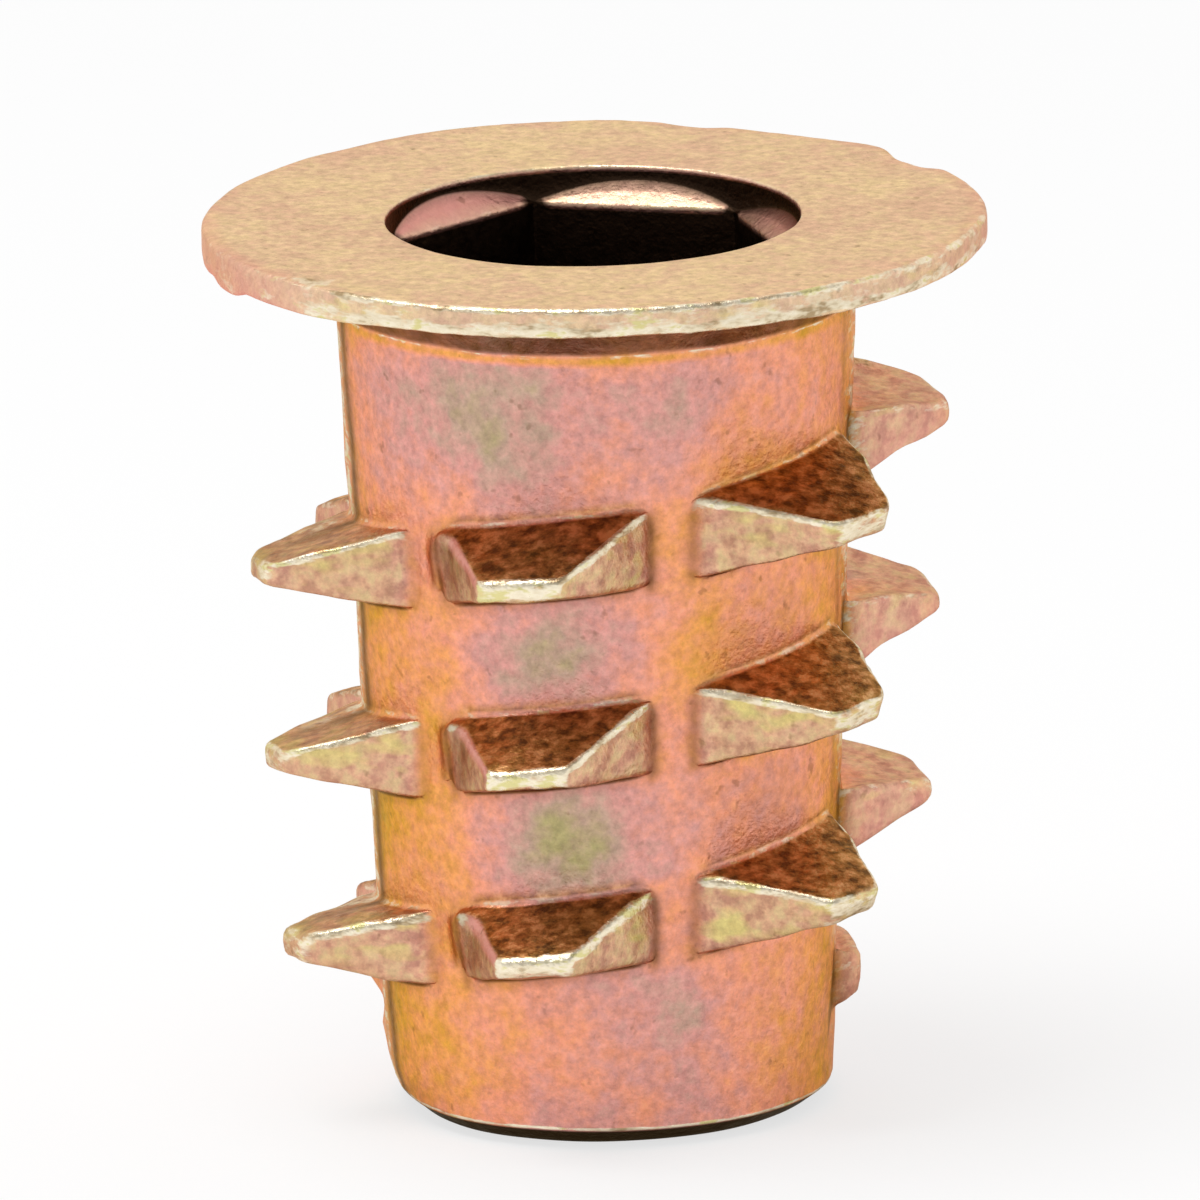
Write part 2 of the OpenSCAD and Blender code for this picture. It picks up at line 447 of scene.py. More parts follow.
# How much painted shade and how much pink the six lead-in facets have, how bright their
# lower edges are with wear and a painted highlight, and how much higher those edges lie than
# on the solid
FACET_RAISED = {"E": 0.08, "F": 0.12, "A": 0.06}
FACET_PINK = {"E": 0.45, "F": 1, "A": 0.6, "B": 0.5, "C": 0.6, "D": 0.7}
FACET_DARK = {"E": 0.26, "D": 0.5}
FACET_TOP_LIGHTER = {"F": 0.45}
FACET_MIDDLE_DARK = {"E": 0.68, "F": 0.2, "A": 0.6, "B": 0.6, "C": 0.6, "D": 0.68}
FACET_EDGE_WEAR_AND_HIGHLIGHT = {"E": 0.3, "F": 0.1, "A": 0.3, "B": 0.5, "C": 0.4, "D": 0.1}

# Round the rim, from angle to value: how bright it is with wear and painted highlights, how
# pink, and in millimetres how far its lower edge is rounded
RIM_WEAR_AND_HIGHLIGHT = {20: 0.55, 120: 0.5, 195: 0.3, 212: 0.25, 234: 0.35, 244: 1, 300: 1, 340: 0.75}
RIM_PINK = {10: 0.5, 60: 0.4, 120: 0.15, 180: 0.3, 205: 0.75, 228: 0.75, 240: 0.15, 330: 0.2}
RIM_ROUND = {345: 0.1, 10: 0.24, 35: 0.24, 60: 0.1}


def round_rim(values):
    """Value round the flange: straight lines between those of a table from angle to value."""
    return np.interp(np.degrees(PHI) % 360, list(values), list(values.values()), period=360)


def add_lower_end(s):
    """End face and chamfer, darkened with a painted shadow up to the chamfer's upper edge,
    which is bright with wear and a painted highlight.
    """
    chamfer_r = barrel_r(END_CHAMFER)
    s.corner(COUNTERSINK_R, 0, 0.06, 1)
    s.corner(chamfer_r - END_CHAMFER_RUN, 0, 0.24, 2, 5, inside=1)
    s.corner(chamfer_r - 0.08, END_CHAMFER - 0.07, 0.02, 1, 1, inside=1)
    s.corner(chamfer_r, END_CHAMFER, 0.06, 3, 5, worn=1)


def add_outer_thread(s):
    """The row that holds the stub tooth, then the three levels of the broken helix."""
    share = STUB_SHARE * (SECTOR == SECTOR_NAMES.index("D"))
    add_tooth(s, by_sector(STUB_ROW_Z), share, by_sector(STUB_ROW_HALF), softness=STUB_SOFTNESS)
    for level in LEVELS:
        add_tooth(s, tooth_centres(level), growth(level), HALF_SLOT, level, SOFTNESS[level])


def add_neck(s):
    """Bright line round the neck's foot, a painted highlight, and the flare darkened with
    painted shade under the flange.
    """
    s.corner(barrel_r(NECK_Z - 0.34), NECK_Z - 0.34, 0.02, 3, 1)
    s.corner(barrel_r(NECK_Z) - 0.003, NECK_Z - 0.06, 0.02, 1, 1, worn=0.42)
    s.corner(barrel_r(NECK_Z), NECK_Z, 0.06, 3, 3, shade=1)
    s.corner(BARREL_TOP_R + NECK_FLARE, FLANGE_UNDER, 0.35, 5, 4, shade=1)


def add_flange(s):
    """Rim, brightest along its lower half with wear and painted highlights and with a faint
    painted shade across its upper half, and the flat top as far as the recess, whose wall is
    darkened with painted shade.
    """
    bright, pink = round_rim(RIM_WEAR_AND_HIGHLIGHT), round_rim(RIM_PINK)
    glow = 0.3 * bright
    s.corner(FLANGE_R, FLANGE_UNDER, round_rim(RIM_ROUND), 1, 5,
             worn=0.8 * bright, worn_edge=bright, plate=1, rose=pink, glow=glow)
    # Faint painted shade across the rim's upper half
    s.corner(FLANGE_R, LENGTH - 0.4, 0.03, 1, 1,
             worn_edge=0.25 * bright, plate=1, rose=0.7 * pink, glow=glow, shade=0.13 * bright)
    s.corner(FLANGE_R, LENGTH, 0.16, 2, 5, worn=0.85 * bright, plate=1, rose=0.5 * pink, glow=glow)
    s.corner(FLANGE_R - 0.5, LENGTH, 0.02, 8, 1, plate=1)
    s.corner(RECESS_R, LENGTH, 0.08, 1, 3, worn=0.3, plate=1)
    # Recess wall, darkened with painted shade
    s.corner(RECESS_R, LENGTH - 0.16, 0.02, 1, 1, inside=1)


def add_socket(s):
    """Lead-in facets and flats. The hexagon's radius is its apothem over the cosine of the
    angle from a flat's middle, and a facet is a plane that slopes down to it."""
    hex_r = HEX_APOTHEM / np.cos(LOCAL)
    edge_drop = HEX_START - by_sector(FACET_RAISED)
    top_drop = edge_drop - (RECESS_R * np.cos(LOCAL) - HEX_APOTHEM) * math.tan(LEAD_IN_SLOPE)
    # Painted shade in the facets' corners, in bands across their middles and down the walls and
    # flats below them, and wear with a painted highlight along the facets' lower edges
    at_corner = smooth_step((np.abs(LOCAL) - math.radians(24)) / math.radians(5))
    pink = by_sector(FACET_PINK)
    dark = np.maximum(at_corner, by_sector(FACET_DARK))
    worn = by_sector(FACET_EDGE_WEAR_AND_HIGHLIGHT) * (1 - at_corner)
    facet_r, facet_drop = RECESS_R - 0.03, top_drop + 0.02
    s.corner(RECESS_R, LENGTH - top_drop + 0.04, 0.02, 1, 1, inside=1)
    s.corner(facet_r, LENGTH - facet_drop, 0.02, 1, 1, plate=1, rose=pink,
             inside=np.maximum(dark, 0.85 - by_sector(FACET_TOP_LIGHTER)))
    for share, band_dark in ((0.36, by_sector(FACET_MIDDLE_DARK)), (0.48, 0.1)):
        s.corner((1 - share) * facet_r + share * hex_r,
                 LENGTH - (1 - share) * facet_drop - share * edge_drop,
                 0.01, 1, 1, plate=1, rose=pink, inside=np.maximum(dark, band_dark))
    s.corner(hex_r, LENGTH - edge_drop, 0.07, 1, 3,
             worn=worn, plate=1, rose=0.6 * pink, glow=worn, inside=dark)
    s.corner(hex_r, LENGTH - edge_drop - 0.16, 0.05, 3, 1, inside=1)
    s.corner(hex_r, HEX_FLOOR, 0.1, 2, 2, inside=1)


def add_bore(s):
    """Wall behind the metric thread, from the socket's floor to the lower end, darkened with
    painted shade.
    """
    s.corner(THREAD_ROOT_R - 0.2, HEX_FLOOR, 0.05, 1, 2, inside=1)
    s.corner(THREAD_ROOT_R, HEX_FLOOR - 0.3, 0.05, 4, 2, inside=1)
    s.corner(THREAD_ROOT_R, 0.3, 0.05, 1, 2, inside=0.6)


def casting_rows():
    """The whole section of the casting, from the lower end out, up, in and down again."""
    section = Section()
    for add_part in (add_lower_end, add_outer_thread, add_neck, add_flange, add_socket, add_bore):
        add_part(section)
    return section.rows()


# Faults, colours and painted light and shade of this copy

# Rim: middle angle and half angle, then changes in millimetres of the radius, of the
# height, and of the height of the lower edge alone
RIM_FAULTS = (
    (120, 42, 0.03, 0.0, 0.0),
    (114, 22, 0.0, 0.07, 0.0),
    (88, 4, -0.06, -0.03, 0.0),
    (74, 13, 0.0, -0.06, 0.0),
    (46, 6.5, -0.24, -0.10, 0.0),
    (14, 8, 0.06, -0.02, 0.0),
    (201, 6, 0.0, 0.0, 0.12),
    (213, 5.5, 0.0, 0.0, 0.20),
    (232, 14, 0.0, 0.0, 0.05),
)

# Places laid over the casting: flash that stands out of the barrel and the rounded left of
# the lower end in millimetres, and as shares painted shade along two lines down the barrel,
# painted reflections in the pale strips beside them, painted shade below the teeth of column
# C, and a worn lip with a painted highlight
FLASH = ((181, 7, 2.5, 0.27, 0.42), (185, 9, 1.5, 0.3, 0.15))
ROUNDED_END = ((206, 24, 0.35, 0.5, 0.2),)
BARREL_LINE_SHADE = ((207.3, 3.3, 9.0, 60.0, 1.0), (357.0, 2.0, 13.0, 9.0, 0.4))
BARREL_LINE_REFLECTION = ((199.0, 5.0, 9.0, 60.0, 0.62), (7.0, 6.0, 13.0, 8.0, 0.55))
SHADED = ((329, 15, 7.8, 1.2, 0.24), (329, 15, 12.2, 1.1, 0.12))
LIP_WEAR_AND_HIGHLIGHT = ((234.5, 3.6, LENGTH, 1.0, 1.0),)

# Film in the gap before the first sector, on its middle, in the next gap, and so on
FILM_ROUND = (0.3, 0.62, 0.35, 0.55, 0.32, 0.23, 0.34, 0.61, 0.49, 0.37, 0.24, 0.5)

# Places where the film is thicker or thinner
FILM_PATCHES = (
    (224, 18, 17.0, 2.1, 0.24),
    (251, 13, 17.0, 1.7, 0.32),
    (283, 6, 15.6, 0.7, -0.10),
    (300, 10, 17.2, 1.3, 0.13),
    (312, 7, 16.4, 0.9, -0.10),
    (348, 12, 16.8, 1.3, 0.10),
    (330, 22, 15.3, 0.45, -0.12),
    (255, 8, 11.6, 1.2, 0.06),
    (277, 10, 11.5, 0.9, 0.12),
    (307, 10, 11.6, 1.3, -0.28),
    (262, 20, 10.3, 0.5, -0.10),
    (211, 13, 7.1, 1.1, -0.13),
    (234, 6, 7.2, 1.2, -0.10),
    (257, 8, 7.2, 1.2, 0.10),
    (276, 11, 7.2, 0.9, 0.30),
    (212, 14, 2.0, 1.6, -0.18),
    (235, 9, 2.1, 1.2, -0.13),
    (262, 13, 2.4, 1.9, -0.18),
    (273, 7, 2.0, 1.8, -0.08),
    (300, 8, 3.1, 0.7, 0.22),
    (351, 9, 3.6, 0.8, -0.06),
    (92, 12, 17.2, 1.0, 0.22),
    (152, 10, 16.8, 1.2, 0.20),
    (35, 10, 11.8, 0.9, 0.22),
    (96, 11, 7.4, 0.9, 0.20),
    (148, 12, 3.0, 1.0, -0.2),
)

# Film on the teeth by column, and on the flange
TOOTH_FILM = {"E": 0.8, "F": 0.8, "A": 0.86, "B": 0.72, "C": 0.84, "D": 0.55}
PLATE_FILM = 0.7


def on_barrel(r, z, from_z):
    """1 on the outside of the barrel, from a height up to the neck, and 0 elsewhere."""
    return ((r > 4.7) & (z > from_z) & (z < NECK_Z)).astype(float)


def outline_faults(r, z):
    """Small faults of this casting as changes of radius and height: the bent and chipped
    rim, its lip that was pressed down, flash low on the barrel, and the lower end rounded
    off on its left. Each is a bell over the angle, flat-topped on the rim."""
    angle = np.broadcast_to(PHI, r.shape)
    of_flange = z > FLANGE_UNDER - 0.1
    bends = smooth_step((r - 6.9) / 1.6) * of_flange
    presses = smooth_step((r - 7.8) / 0.6) * smooth_step((LENGTH - 0.2 - z) / 0.3) * of_flange
    change_r, change_z = np.zeros_like(r), np.zeros_like(r)
    for middle, half_angle, outward, lift, drop in RIM_FAULTS:
        across = angle_between(angle, math.radians(middle)) / math.radians(half_angle)
        flat_bell = np.exp(-across ** 4)
        change_r += bends * flat_bell * outward
        change_z += bends * flat_bell * lift - presses * flat_bell * drop
    change_r += on_barrel(r, z, END_CHAMFER + 0.1) * swellings(FLASH, z)
    change_r -= smooth_step((r - 4.0) / 0.4) * swellings(ROUNDED_END, z)
    return change_r, change_z


def surface_normals(points):
    """Unit normals of the grid: the cross product of its two central differences."""
    along = np.roll(points, -1, 0) - np.roll(points, 1, 0)
    around = np.roll(points, -1, 1) - np.roll(points, 1, 1)
    normal = np.cross(around, along)
    return normal / np.maximum(np.linalg.norm(normal, axis=-1, keepdims=True), 1e-9)


def cast_relief(points, tooth, worn, plate, inside):
    """Height of the cast grain along the normal: long soft waves everywhere, shorter ones
    on the teeth, and the shortest on worn crests and the rim."""
    relief = 0.014 * ripple(points, 3.2, 11) + 0.006 * ripple(points, 1.3, 12)
    relief += 0.016 * tooth * ripple(points, 1.2, 13)
    relief += 0.010 * worn * ripple(points, 0.7, 14) + 0.005 * worn * ripple(points, 0.35, 15)
    relief *= 1 - 0.6 * plate * (1 - worn)
    return relief * (1 - 0.8 * np.clip(inside * 2, 0, 1))


def film_thickness(r, z, tooth, plate):
    """How thick the plating's tinted film is, 0 amber to 1 olive. It is thin in the gaps
    between the columns and near the teeth, and thick midway between two teeth."""
    angle = np.broadcast_to(PHI, r.shape)
    steps = THETA / (SECTOR_ANGLE / 2)
    here = np.floor(steps).astype(int) % len(FILM_ROUND)
    share = smooth_step(steps - np.floor(steps))
    film_round = np.array(FILM_ROUND)
    around = film_round[here] * (1 - share) + film_round[(here + 1) % len(FILM_ROUND)] * share
    nearest = NECK_Z - z
    for level in LEVELS:
        nearest = np.minimum(nearest, np.abs(z - tooth_centres(level)) - 0.85)
    away = smooth_step(nearest / 0.5)
    place = np.stack([r * np.cos(angle), r * np.sin(angle), z], -1)
    drift = 0.02 * ripple(place, 8.0, 21) + 0.02 * ripple(place, 3.5, 22)
    film = around * (0.85 + 0.15 * away) + drift + swellings(FILM_PATCHES, z)
    film = film + (0.2 - film) * bell(z, NECK_Z - 0.16, 0.13)
    tooth_film = by_sector(TOOTH_FILM) + 0.08 * ripple(place, 1.6, 23)
    film = film * (1 - tooth) + tooth_film * tooth
    return film * (1 - plate) + PLATE_FILM * plate


# The pieces

def grid_mesh(name, points, attributes):
    """Closed mesh over a grid that joins up both ways, its faces turned outwards."""
    n, m = points.shape[:2]
    index = np.arange(n * m).reshape(n, m)
    right = np.roll(index, -1, 1)
    corners = (index, right, np.roll(right, -1, 0), np.roll(index, -1, 0))
    quads = np.stack(corners, -1).reshape(-1, 4)
    mesh = bpy.data.meshes.new(name)
    mesh.vertices.add(n * m)
    mesh.vertices.foreach_set("co", (points.reshape(-1, 3) * MM).ravel())
    mesh.loops.add(quads.size)
    mesh.loops.foreach_set("vertex_index", quads.ravel())
    mesh.polygons.add(len(quads))
    mesh.polygons.foreach_set("loop_start", np.arange(0, quads.size, 4))
    mesh.update(calc_edges=True)
    mesh.polygons.foreach_set("use_smooth", np.ones(len(quads), dtype=bool))
    for label, values in attributes.items():
        layer = mesh.attributes.new(label, "FLOAT", "POINT")
        layer.data.foreach_set("value", values.astype(np.float32).ravel())
    piece = bpy.data.objects.new(name, mesh)
    bpy.context.scene.collection.objects.link(piece)
    return piece


def make_casting():
    """Carries the section round the axis, lays the faults and the grain over it, and
    returns the piece."""
    rows, marks = casting_rows()
    r, z, tooth, plate, inside, flank, shade, rose, glow = np.moveaxis(rows, -1, 0)
    flank = flank * (1 - marks["bare"])
    rose = np.maximum(rose, marks["blush"])
    change_r, change_z = outline_faults(r, z)
    film = film_thickness(r, z, tooth, plate)
    bare_barrel = (1 - tooth) * on_barrel(r, z, 0.3)
    # Painted shade along two lines down the barrel and below the teeth of column C
    barrel_shade = bare_barrel * swellings(BARREL_LINE_SHADE + SHADED, z)
    shade = np.maximum(shade * (1 - marks["blush"]), barrel_shade)
    # Painted reflections in pale strips beside those lines, and a worn lip with a painted highlight
    worn = np.maximum(marks["worn"], bare_barrel * swellings(BARREL_LINE_REFLECTION, z))
    worn = np.maximum(worn, bell(r, 8.4, 0.25) * plate * swellings(LIP_WEAR_AND_HIGHLIGHT, z))
    r, z = r + change_r, z + change_z
    points = np.stack([r * np.cos(PHI), r * np.sin(PHI), z], -1)
    relief = cast_relief(points, tooth, worn, plate, inside)
    points = points + surface_normals(points) * relief[..., None]
    points[..., 2] = np.clip(points[..., 2], 0, LENGTH + 0.06)
    return grid_mesh("insert_casting", points, {
        "film": film, "worn": worn, "root": marks["root"], "plate": plate, "inside": inside,
        "flank": flank, "tooth": tooth, "shade": shade, "rose": rose, "glow": glow})


def make_bore_thread():
    """Ridge of the metric thread: a trapezoid across the helix, carried up the bore. Its
    height fades at both ends, where the thread runs out into the countersinks."""
    run_out, fade_turns, steps = 0.35, 0.6, 48
    half_root, half_crest, embed, lowest_rise, wall_gap = 0.44 * THREAD_PITCH, 0.13, 0.1, 0.06, 0.12
    turns = (HEX_FLOOR - 2 * run_out) / THREAD_PITCH
    turn = np.linspace(0, turns, int(turns * steps))[:, None]
    fade = smooth_step(turn / fade_turns) * smooth_step((turns - turn) / fade_turns)
    faded_r = THREAD_ROOT_R - lowest_rise
    crest = faded_r - (faded_r - BORE_R) * fade
    root = np.full_like(crest, THREAD_ROOT_R + embed)
    r = np.concatenate([root, crest, crest, root], 1)
    across = np.array([-half_root, -half_crest, half_crest, half_root])
    z = np.clip(run_out + turn * THREAD_PITCH + across, wall_gap, HEX_FLOOR - wall_gap)
    angle = turn * 2 * math.pi
    points = np.stack([r * np.cos(angle), r * np.sin(angle), z], -1)
    n, m = points.shape[:2]
    index = np.arange(n * m).reshape(n, m)
    beside = np.roll(index, -1, 1)
    corners = (index[:-1], beside[:-1], beside[1:], index[1:])
    faces = np.stack(corners, -1).reshape(-1, 4).tolist()
    faces += [index[0, ::-1].tolist(), index[-1].tolist()]
    mesh = bpy.data.meshes.new("bore_thread")
    mesh.from_pydata((points.reshape(-1, 3) * MM).tolist(), [], faces)
    piece = bpy.data.objects.new("bore_thread", mesh)
    bpy.context.scene.collection.objects.link(piece)
    return piece


# The finishes

class Graph:
    """Shorthand for the nodes of one material."""

    def __init__(self, name):
        self.material = bpy.data.materials.new(name)
        self.material.use_nodes = True
        self.tree = self.material.node_tree
        self.shader = self.tree.nodes["Principled BSDF"]

    def put(self, socket, value):
        """Joins a node's output to a socket, or writes a plain value into it."""
        if isinstance(value, bpy.types.NodeSocket):
            self.tree.links.new(value, socket)
        else:
            socket.default_value = value

    def put_shader(self, **inputs):
        """Fills the shader's inputs by name."""
        for name, value in inputs.items():
            self.put(self.shader.inputs[name.replace("_", " ")], value)

    def node(self, kind, output=0, **inputs):
        """Adds a node, fills its inputs by name, and returns one of its outputs."""
        node = self.tree.nodes.new(kind)
        for name, value in inputs.items():
            self.put(node.inputs[name.replace("_", " ")], value)
        return node.outputs[output]

    def attribute(self, name):
        """Value that the mesh carries at each point under a name."""
        node = self.tree.nodes.new("ShaderNodeAttribute")
        node.attribute_name = name
        return node.outputs["Fac"]

    def noise(self, size, detail=2.0, rough=0.5, seed=0.0, flat=1.0):
        """Noise whose patches are about size millimetres across and flatter by a factor,
        moved by the seed."""
        place = self.node("ShaderNodeTexCoord", "Object")
        moved = self.node("ShaderNodeMapping", 0, Vector=place, Scale=(1, 1, flat),
                          Location=(seed * 0.1, seed * 0.07, seed * 0.03))
        return self.node("ShaderNodeTexNoise", 0, Vector=moved, Scale=1000.0 / size,
                         Detail=detail, Roughness=rough)

    def math(self, operation, a, b=0.0):
        """Result of one operation on two values."""
        node = self.tree.nodes.new("ShaderNodeMath")
        node.operation = operation
        self.put(node.inputs[0], a)
        self.put(node.inputs[1], b)
        return node.outputs[0]

    def add(self, a, b):
        """Sum of two values."""
        return self.math("ADD", a, b)

    def times(self, a, b):
        """Product of two values."""
        return self.math("MULTIPLY", a, b)

    def spread(self, value, low, high, out_low=0.0, out_high=1.0):
        """Value brought from one range into another and held inside it."""
        node = self.tree.nodes.new("ShaderNodeMapRange")
        for socket, number in zip(node.inputs, (value, low, high, out_low, out_high)):
            self.put(socket, number)
        return node.outputs[0]

    def ramp(self, value, stops):
        """Colour from a list of (place, colour) stops."""
        node = self.tree.nodes.new("ShaderNodeValToRGB")
        elements = node.color_ramp.elements
        while len(elements) < len(stops):
            elements.new(0.5)
        for element, (place, colour) in zip(elements, stops):
            element.position = place
            element.color = (*colour, 1)
        self.put(node.inputs[0], value)
        return node.outputs[0]

    def mix(self, factor, a, b, blend="MIX"):
        """Colour between two others, by a factor from 0 to 1."""
        node = self.tree.nodes.new("ShaderNodeMix")
        node.data_type = "RGBA"
        node.blend_type = blend
        self.put(node.inputs[0], factor)
        for socket, value in ((node.inputs[6], a), (node.inputs[7], b)):
            self.put(socket, value if isinstance(value, bpy.types.NodeSocket) else (*value, 1))
        return node.outputs[2]


# Tints of the plating's film from thin to thick
FILM_TINTS = (
    (0.00, (0.60, 0.37, 0.05)),
    (0.13, (0.80, 0.40, 0.06)),
    (0.26, (0.95, 0.41, 0.14)),
    (0.40, (0.97, 0.40, 0.25)),
    (0.55, (0.79, 0.38, 0.33)),
    (0.70, (0.61, 0.41, 0.31)),
    (0.88, (0.50, 0.43, 0.20)),
)

# Mottled tints of the teeth's faces, the flange, worn metal with painted highlights, and the
# painted shade of the upper flanks
TOOTH_TINTS = (
    (0.38, (0.62, 0.30, 0.20)),
    (0.50, (0.84, 0.49, 0.30)),
    (0.64, (0.88, 0.64, 0.34)),
)
FLANGE_TINTS = (
    (0.40, (0.86, 0.58, 0.40)),
    (0.50, (0.90, 0.66, 0.42)),
    (0.60, (0.93, 0.72, 0.42)),
)
WEAR_AND_HIGHLIGHT_TINTS = (
    (0.34, (0.48, 0.35, 0.20)),
    (0.44, (0.88, 0.76, 0.54)),
    (0.54, (1.0, 0.90, 0.70)),
    (0.62, (0.80, 0.72, 0.34)),
)
FLANK_SHADE_TINTS = (
    (0.36, (0.12, 0.050, 0.008)),
    (0.45, (0.34, 0.155, 0.035)),
    (0.54, (0.54, 0.26, 0.08)),
    (0.64, (0.82, 0.46, 0.20)),
)
# Tints of the bore, darkened with painted shade
BORE_SHADE_TINTS = (
    (0.3, (0.22, 0.13, 0.07)),
    (0.7, (0.42, 0.27, 0.15)),
)
CREST_GREEN = (0.80, 0.74, 0.24)
ROSE = (0.78, 0.34, 0.30)
# Brown of the pits, and of the painted shade in roots, crevices and under the flange
PITS_AND_SHADE_BROWN = (0.13, 0.055, 0.010)
# Near black of the painted shade and shadow in the socket and bore and on the lower chamfer
PAINTED_SHADOW_DARK = (0.035, 0.02, 0.012)

# Tints of the sheen at grazing angles
PLATE_EDGE_TINT = (0.75, 0.62, 0.5)
BARREL_EDGE_TINT = (0.72, 0.62, 0.50)
ROSE_EDGE_TINT = (0.95, 0.42, 0.42)


def plating():
    """Yellow zinc plating: a tinted film in drifting patches over a grainy casting, pale where
    crests and the rim are worn and where highlights are painted, with painted shade in the
    roots, on the upper flanks and down the socket."""
    g = Graph("yellow_zinc_plating")
    film, worn, root = g.attribute("film"), g.attribute("worn"), g.attribute("root")
    plate, inside, flank = g.attribute("plate"), g.attribute("inside"), g.attribute("flank")
    tooth, shade, rose = g.attribute("tooth"), g.attribute("shade"), g.attribute("rose")
    glow = g.attribute("glow")

    drift = g.times(g.math("SUBTRACT", g.noise(2.5, 3.0, 0.55, 1), 0.5), 0.2)
    speck = g.times(g.math("SUBTRACT", g.noise(0.6, 3.0, 0.6, 2), 0.5), 0.45)
    tinted = g.ramp(g.add(g.add(film, drift), speck), FILM_TINTS)
    faces = g.ramp(g.noise(0.4, 3.0, 0.6, 13), TOOTH_TINTS)
    tinted = g.mix(g.spread(tooth, 0.0, 0.35, 0.0, 0.8), tinted, faces)
    fine, broad = g.noise(0.5, 4.0, 0.7, 3), g.noise(3.5, 2.0, 0.5, 14)
    top = g.ramp(g.add(g.times(fine, 0.6), g.times(broad, 0.4)), FLANGE_TINTS)
    colour = g.mix(g.spread(plate, 0.4, 0.9), tinted, top)
    patches = g.spread(g.noise(1.1, 2.0, 0.5, 12, flat=2.0), 0.35, 0.65, -0.9, 0.1)
    glowing = g.spread(g.add(glow, patches), 0.1, 0.7, 0.0, 0.75)
    colour = g.mix(glowing, colour, CREST_GREEN)

    mottle = g.spread(g.noise(0.22, 4.0, 0.7, 4), 0.3, 0.7, 0.76, 1.14)
    grey = g.node("ShaderNodeCombineColor", 0, Red=mottle, Green=mottle, Blue=mottle)
    colour = g.mix(1.0, colour, grey, "MULTIPLY")
    colour = g.mix(g.times(rose, 0.85), colour, ROSE)
    # Painted shade of the upper flanks
    flank_shade_colour = g.ramp(g.noise(0.34, 3.0, 0.62, 11), FLANK_SHADE_TINTS)
    colour = g.mix(g.times(g.spread(flank, 0.1, 0.8), 0.9), colour, flank_shade_colour)

    # Worn metal and painted highlights, broken up in streaks
    worn_colour = g.ramp(g.noise(0.9, 3.0, 0.65, 5, flat=2.6), WEAR_AND_HIGHLIGHT_TINTS)
    wear_and_highlight_breakup = g.spread(g.noise(0.7, 3.0, 0.65, 6, flat=3.0), 0.36, 0.6, -0.6, 0.12)
    colour = g.mix(g.spread(g.add(worn, wear_and_highlight_breakup), 0.12, 0.55), colour, worn_colour)
    # Painted shade in the roots and wherever shade is marked, broken up in patches
    shade_patches = g.spread(g.noise(0.5, 3.0, 0.6, 15), 0.3, 0.6, 1.0, 0.8)
    painted_shade = g.math("MAXIMUM", root, g.times(shade, shade_patches))
    colour = g.mix(g.times(painted_shade, 0.93), colour, PITS_AND_SHADE_BROWN)
    pits = g.spread(g.noise(0.35, 2.0, 0.5, 7), 0.67, 0.75, 0.0, 0.36)
    colour = g.mix(pits, colour, PITS_AND_SHADE_BROWN)
    # Painted shade and shadow in the socket and bore and on the lower chamfer
    colour = g.mix(g.spread(inside, 0.2, 0.9), colour, PAINTED_SHADOW_DARK)

    edge_tint = g.mix(plate, BARREL_EDGE_TINT, PLATE_EDGE_TINT)
    edge_tint = g.mix(g.times(rose, plate), edge_tint, ROSE_EDGE_TINT)
    rough = g.spread(g.noise(0.3, 3.0, 0.6, 8), 0.3, 0.7, 0.34, 0.5)
    rough = g.math("SUBTRACT", rough, g.times(worn, 0.1))
    grain = g.add(g.noise(0.28, 3.0, 0.65, 9), g.times(g.noise(0.1, 2.0, 0.6, 10), 0.5))
    bump = g.node("ShaderNodeBump", 0, Height=grain, Strength=0.5, Distance=0.00006)
    g.put_shader(Base_Color=colour, Metallic=1.0, Specular_Tint=edge_tint, Roughness=rough,
                 Normal=bump)
    return g.material


def bore_plating():
    """Plating down the bore, darker with painted shade."""
    g = Graph("bore_plating")
    colour = g.ramp(g.noise(0.8, 3.0, 0.6, 1), BORE_SHADE_TINTS)
    rough = g.spread(g.noise(0.3, 3.0, 0.6, 2), 0.3, 0.7, 0.34, 0.5)
    grain = g.noise(0.2, 3.0, 0.6, 3)
    bump = g.node("ShaderNodeBump", 0, Height=grain, Strength=0.4, Distance=0.00004)
    g.put_shader(Base_Color=colour, Metallic=1.0, Roughness=rough, Normal=bump)
    return g.material


# The studio

# Strength of the light from the white walls and from the dimmer ceiling, the direction in
# which the one gives way to the other, and where along it the change starts and ends
WALLS = 1.0
CEILING = 0.35
TOWARDS_CEILING = (0.09, -0.38, 1.0)
CEILING_START = 0.5
CEILING_END = 0.85

# Half the side of the floor in metres
FLOOR_HALF = 0.6

# The camera as the photograph has it: a long lens, a little above, tipped slightly
CAMERA_AZIMUTH = math.radians(13.5)
CAMERA_ELEVATION = math.radians(14.3)
CAMERA_ROLL = math.radians(1.25)
CAMERA_DISTANCE = 1.2
IMAGE_SIDE = 1200
PIXELS_PER_MM = 44.65
CENTRE_PIXEL = (602.5, 655.0)
MIDDLE = Vector((0, 0, 0.5 * LENGTH * MM))


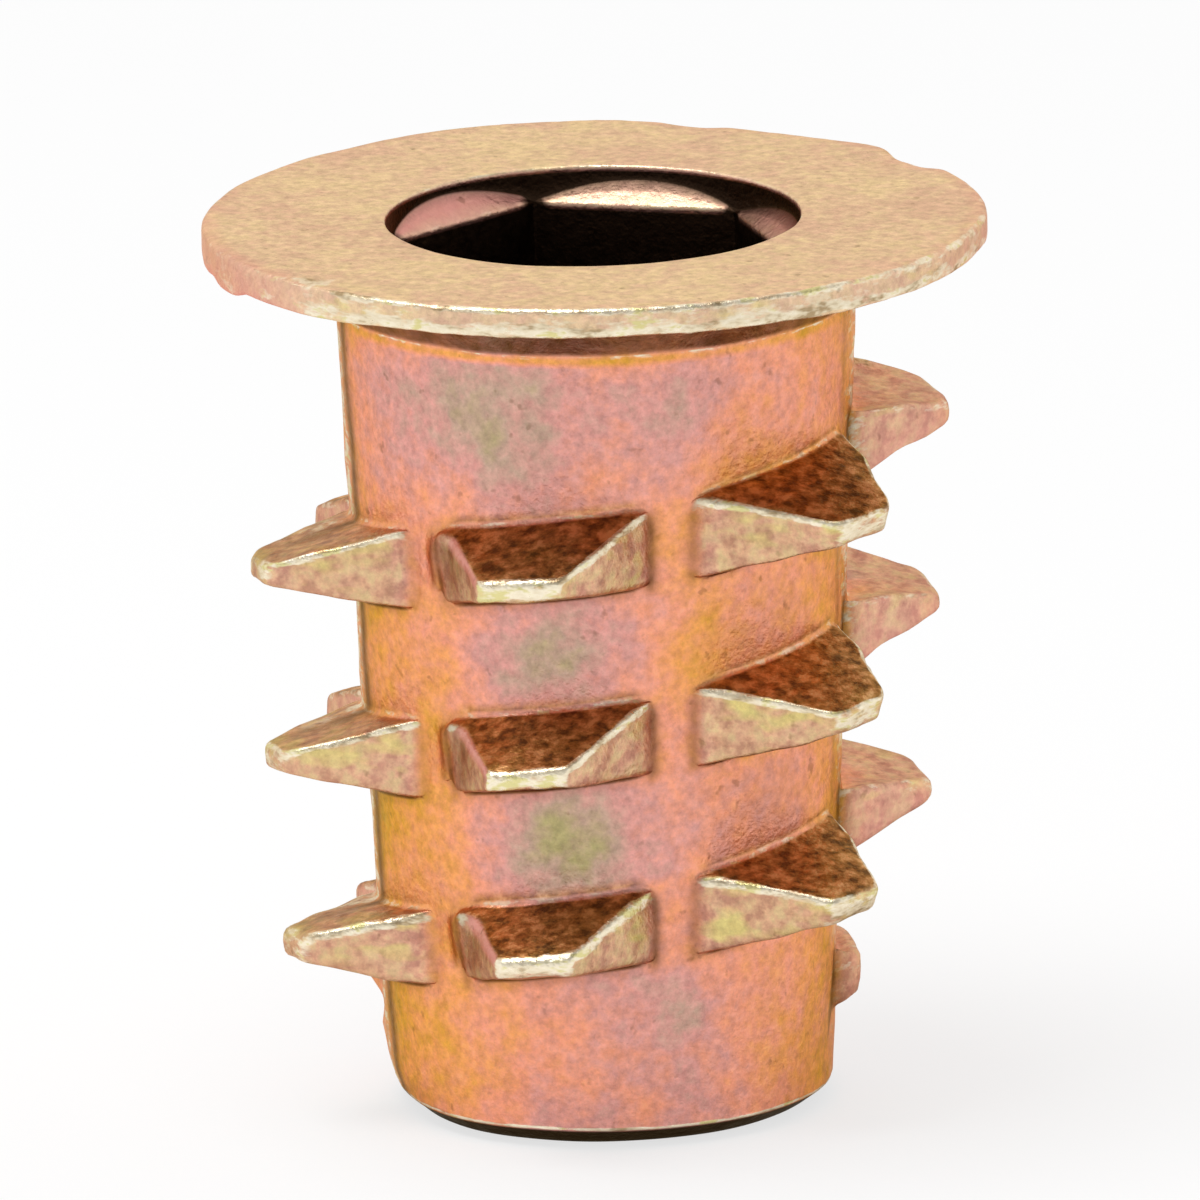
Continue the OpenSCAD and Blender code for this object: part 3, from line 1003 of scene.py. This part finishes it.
def make_floor():
    """Pale floor. The camera sees it close to white, and the object's shadow stays."""
    h = FLOOR_HALF
    mesh = bpy.data.meshes.new("floor")
    mesh.from_pydata([(-h, -h, 0), (h, -h, 0), (h, h, 0), (-h, h, 0)], [], [(0, 1, 2, 3)])
    floor = bpy.data.objects.new("floor", mesh)
    bpy.context.scene.collection.objects.link(floor)
    g = Graph("pale_floor")
    g.put_shader(Base_Color=(0.93, 0.93, 0.93, 1), Roughness=0.8, Specular_IOR_Level=0.0)
    path = g.tree.nodes.new("ShaderNodeLightPath").outputs
    seen = g.add(g.times(path["Is Camera Ray"], 0.7), g.times(path["Is Glossy Ray"], 0.25))
    white = g.node("ShaderNodeEmission", 0, Color=(1, 1, 1, 1), Strength=1.0)
    both = g.tree.nodes.new("ShaderNodeMixShader")
    for socket, value in zip(both.inputs, (seen, g.shader.outputs[0], white)):
        g.put(socket, value)
    g.put(g.tree.nodes["Material Output"].inputs["Surface"], both.outputs[0])
    mesh.materials.append(g.material)


def make_world():
    """White studio: a bright sweep behind the insert that goes up high, white walls and a
    dimmer ceiling towards the camera. The camera itself sees plain white."""
    world = bpy.data.worlds.new("studio")
    bpy.context.scene.world = world
    world.use_nodes = True
    nodes, links = world.node_tree.nodes, world.node_tree.links
    place = nodes.new("ShaderNodeTexCoord")
    slope = nodes.new("ShaderNodeVectorMath")
    slope.operation = "DOT_PRODUCT"
    links.new(place.outputs["Generated"], slope.inputs[0])
    slope.inputs[1].default_value = TOWARDS_CEILING
    walls = nodes.new("ShaderNodeMapRange")
    links.new(slope.outputs["Value"], walls.inputs["Value"])
    for socket, value in zip(list(walls.inputs)[1:5], (CEILING_START, CEILING_END, WALLS, CEILING)):
        socket.default_value = value
    path = nodes.new("ShaderNodeLightPath")
    seen = nodes.new("ShaderNodeMix")
    links.new(path.outputs["Is Camera Ray"], seen.inputs[0])
    links.new(walls.outputs[0], seen.inputs[2])
    seen.inputs[3].default_value = 1.0
    links.new(seen.outputs[0], nodes["Background"].inputs["Strength"])
    nodes["Background"].inputs["Color"].default_value = (1, 1, 1, 1)


def make_lamp(name, size, place, power):
    """Square soft lamp that faces the middle of the insert."""
    data = bpy.data.lights.new(name, "AREA")
    data.size = size
    data.energy = power
    lamp = bpy.data.objects.new(name, data)
    lamp.location = place
    lamp.rotation_euler = (MIDDLE - Vector(place)).to_track_quat("-Z", "Y").to_euler()
    bpy.context.scene.collection.objects.link(lamp)


def make_camera():
    """Long-lens camera that puts the insert's middle on its pixel of the photograph."""
    a, e = CAMERA_AZIMUTH, CAMERA_ELEVATION
    back = Vector((math.sin(a) * math.cos(e), -math.cos(a) * math.cos(e), math.sin(e)))
    right = Vector((math.cos(a), math.sin(a), 0))
    up = back.cross(right)
    turn = Matrix.Rotation(-CAMERA_ROLL, 3, back)
    right, up = turn @ right, turn @ up
    per_pixel = MM / PIXELS_PER_MM
    aim = (MIDDLE - right * (CENTRE_PIXEL[0] - IMAGE_SIDE / 2) * per_pixel
           + up * (CENTRE_PIXEL[1] - IMAGE_SIDE / 2) * per_pixel)
    data = bpy.data.cameras.new("camera")
    data.sensor_width = 36.0
    data.lens = data.sensor_width * CAMERA_DISTANCE / (IMAGE_SIDE * per_pixel)
    data.clip_start = 0.01
    camera = bpy.data.objects.new("camera", data)
    axes = Matrix((right, up, back)).transposed()
    camera.matrix_world = Matrix.Translation(aim + back * CAMERA_DISTANCE) @ axes.to_4x4()
    bpy.context.scene.collection.objects.link(camera)
    bpy.context.scene.camera = camera


# Putting it together

make_camera()
make_world()
make_floor()
make_lamp("overhead_softbox", size=0.18, place=(-0.06, -0.05, 0.30), power=0.5)

casting = make_casting()
casting.data.materials.append(plating())
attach(casting, "root")
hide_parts("insert")

bore_thread = make_bore_thread()
bore_thread.data.materials.append(bore_plating())
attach(bore_thread, "root")

bpy.context.scene.view_settings.view_transform = "Standard"
